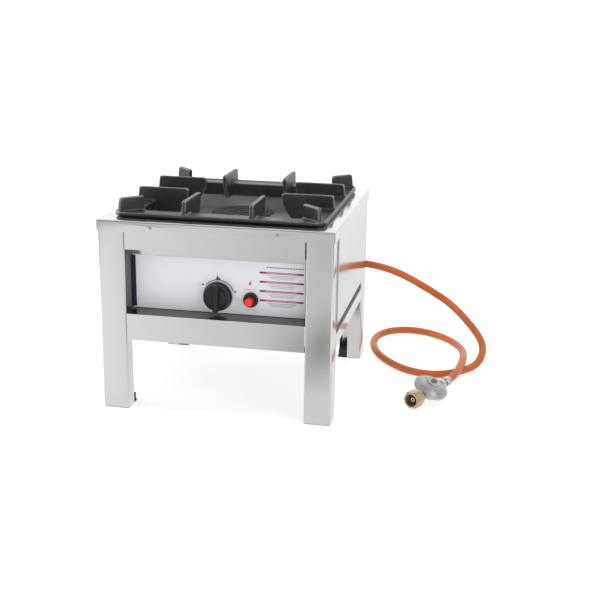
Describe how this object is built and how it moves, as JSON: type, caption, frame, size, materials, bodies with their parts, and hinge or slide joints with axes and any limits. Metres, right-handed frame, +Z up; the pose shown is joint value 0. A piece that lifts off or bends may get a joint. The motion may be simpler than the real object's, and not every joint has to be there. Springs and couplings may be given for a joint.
{
  "type": "gas boiling stove",
  "caption": "Free-standing square steel gas stove with one burner under a lift-off cast pan support, recessed knob and igniter, and a gas hose with pressure regulator.",
  "frame": {"origin": "on the floor, under the middle of the stool", "axes": "+Z up, -Y towards the control panel at the front, +X to the right as seen from the front"},
  "size_m": [0.6413, 0.5462, 0.362],
  "materials": {
    "brushed_steel": "brushed stainless sheet",
    "zinc_steel": "zinc plated",
    "cast_iron": "matt black enamelled casting",
    "black_plastic": "satin moulded",
    "foot_plastic": "matt moulded",
    "red_plastic": "glossy moulded",
    "label_film": "printed satin film",
    "brass": "turned brass",
    "copper": "drawn copper",
    "ceramic": "glazed insulator",
    "hose_rubber": "smooth orange gas hose",
    "black_rubber": "seal rubber",
    "ferrule_steel": "bright plated sleeve",
    "zinc_casting": "satin die casting",
    "badge_film": "plain printed disc"
  },
  "bodies": {
    "stove": {"front_left_leg": "brushed_steel", "front_right_leg": "brushed_steel", "back_left_leg": "brushed_steel", "back_right_leg": "brushed_steel", "front_left_foot": "foot_plastic", "front_right_foot": "foot_plastic", "back_left_foot": "foot_plastic", "back_right_foot": "foot_plastic", "front_rail": "brushed_steel", "left_rail": "brushed_steel", "right_rail": "brushed_steel", "back_rail": "brushed_steel", "top_plate": "brushed_steel", "left_side_panel": "brushed_steel", "right_side_panel": "brushed_steel", "back_panel": "brushed_steel", "top_screws": "zinc_steel", "drip_tray": "brushed_steel", "control_panel": "brushed_steel", "fascia_label": "label_film", "panel_screws": "zinc_steel", "gas_valve": "brass", "valve_screws": "zinc_steel", "igniter_housing": "black_plastic", "igniter_nut": "zinc_steel", "ignition_lead": "black_rubber", "spark_electrode": "ceramic", "thermocouple": "copper", "thermocouple_lead": "copper", "sensor_bracket": "zinc_steel", "injector": "brass", "air_shutter": "zinc_steel", "burner_body": "cast_iron", "burner_ring": "cast_iron", "burner_bracket": "zinc_steel", "bracket_screws": "zinc_steel", "inlet_bushing": "brass", "inlet_pipe": "copper", "pipe_nuts": "brass", "inlet_elbow": "brass", "inlet_ferrule": "ferrule_steel", "gas_hose": "hose_rubber", "outlet_ferrule": "ferrule_steel", "regulator_body": "zinc_casting", "regulator_diaphragm": "black_rubber", "regulator_spring": "zinc_steel", "regulator_cover": "zinc_casting", "regulator_badge": "badge_film", "inlet_nipple": "brass", "nipple_seal": "black_rubber"},
    "pan_support": {"pan_support": "cast_iron"},
    "burner_cap": {"burner_cap": "cast_iron"},
    "tap": {"valve_plug": "brass"},
    "knob": {"gas_knob": "black_plastic", "valve_spindle": "zinc_steel"},
    "igniter_button": {"igniter_button": "red_plastic"},
    "union_nut": {"union_nut": "brass"}
  },
  "joints": [
    {"name": "knob_turn", "type": "hinge", "parent": "stove", "child": "tap", "pos_m": [-0.003, -0.15, 0.2015], "axis": [0, 1, 0], "range_deg": [-48, 68]},
    {"name": "knob_push", "type": "slide", "parent": "tap", "child": "knob", "axis": [0, 1, 0], "range_m": [0, 0.004], "stiffness_N_per_m": 1500},
    {"name": "igniter_push", "type": "slide", "parent": "stove", "child": "igniter_button", "axis": [0, 1, 0], "range_m": [0, 0.006], "stiffness_N_per_m": 800},
    {"name": "pan_support_lift", "type": "slide", "parent": "stove", "child": "pan_support", "axis": [0, 0, 1], "range_m": [0, 0.08]},
    {"name": "burner_cap_lift", "type": "slide", "parent": "stove", "child": "burner_cap", "axis": [0, 0, 1], "range_m": [0, 0.05]},
    {"name": "union_nut_turn", "type": "hinge", "parent": "stove", "child": "union_nut", "pos_m": [0.349, -0.044, 0.019], "axis": [0.4384, 0.8988, 0], "continuous": true}
  ]
}
